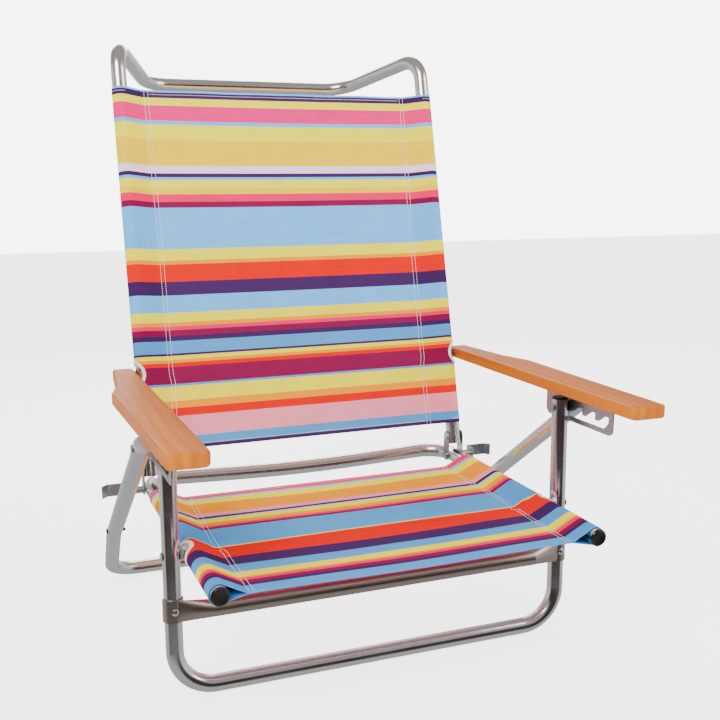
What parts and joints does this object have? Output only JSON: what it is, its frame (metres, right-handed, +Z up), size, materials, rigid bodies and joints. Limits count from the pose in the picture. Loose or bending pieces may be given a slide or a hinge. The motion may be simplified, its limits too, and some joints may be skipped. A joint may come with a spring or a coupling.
{
  "type": "folding beach chair",
  "caption": "Low folding beach chair with a striped fabric seat and back, bent aluminium tube legs and wooden arms on notched plates.",
  "frame": {"origin": "on the floor, at the middle of the box round the open chair", "axes": "+Z up, -Y is the front of the chair, +X is the side of the sitter's left arm"},
  "size_m": [0.6404, 0.7583, 0.8577],
  "materials": {
    "tube_aluminium": "polished drawn tube",
    "varnished_wood": "clear varnish",
    "zinc_steel": "zinc plated",
    "black_plastic": "moulded, glossy",
    "grey_plastic": "moulded, satin",
    "striped_fabric": "woven stripes"
  },
  "bodies": {
    "seat": {"seat_frame": "tube_aluminium", "seat_sling": "striped_fabric", "seat_front_plugs": "black_plastic", "seat_pivot_rivets": "tube_aluminium", "seat_pivot_spacers": "zinc_steel", "left_inner_hinge_plate": "zinc_steel", "left_outer_hinge_plate": "zinc_steel", "right_inner_hinge_plate": "zinc_steel", "right_outer_hinge_plate": "zinc_steel", "saddle_bolts": "zinc_steel", "left_saddle_spacer": "zinc_steel", "right_saddle_spacer": "zinc_steel", "left_saddle_plate": "zinc_steel", "right_saddle_plate": "zinc_steel"},
    "front_leg": {"front_leg_frame": "tube_aluminium", "front_leg_caps": "black_plastic", "front_brace": "tube_aluminium", "brace_rivets": "tube_aluminium", "apex_bolts": "zinc_steel", "apex_washers": "black_plastic"},
    "rear_leg": {"rear_leg_frame": "tube_aluminium", "rear_leg_caps": "grey_plastic", "rear_apex_rivets": "zinc_steel", "leg_stop_pins": "black_plastic"},
    "back": {"back_frame": "tube_aluminium", "back_sling": "striped_fabric", "back_hinge_rivets": "tube_aluminium", "arm_pivot_bolts": "zinc_steel"},
    "left_arm": {"left_arm_board": "varnished_wood", "left_notch_plate": "zinc_steel", "left_plate_screws": "zinc_steel"},
    "right_arm": {"right_arm_board": "varnished_wood", "right_notch_plate": "zinc_steel", "right_plate_screws": "zinc_steel"}
  },
  "joints": [
    {"name": "fold", "type": "hinge", "parent": "seat", "child": "front_leg", "pos_m": [0, -0.19304, 0.18783], "axis": [1, 0, 0], "range_deg": [-2, 76]},
    {"name": "rear_leg_turn", "type": "hinge", "parent": "front_leg", "child": "rear_leg", "pos_m": [0, -0.197, 0.32647], "axis": [1, 0, 0], "range_deg": [-51.14, 1.83]},
    {"name": "back_turn", "type": "hinge", "parent": "seat", "child": "back", "pos_m": [0, 0.07319, 0.23453], "axis": [1, 0, 0], "range_deg": [-3.01, 95.73]},
    {"name": "left_arm_turn", "type": "hinge", "parent": "back", "child": "left_arm", "pos_m": [0.25, 0.09975, 0.36862], "axis": [1, 0, 0], "range_deg": [-96.83, 3.04]},
    {"name": "right_arm_turn", "type": "hinge", "parent": "back", "child": "right_arm", "pos_m": [-0.25, 0.09975, 0.36862], "axis": [1, 0, 0], "range_deg": [-96.83, 3.04]}
  ],
  "couplings": [
    {"joint": "rear_leg_turn", "follows": "fold", "ratio": -0.6663},
    {"joint": "back_turn", "follows": "fold", "ratio": 1.253},
    {"joint": "left_arm_turn", "follows": "fold", "ratio": -1.2675},
    {"joint": "right_arm_turn", "follows": "fold", "ratio": -1.2675}
  ]
}
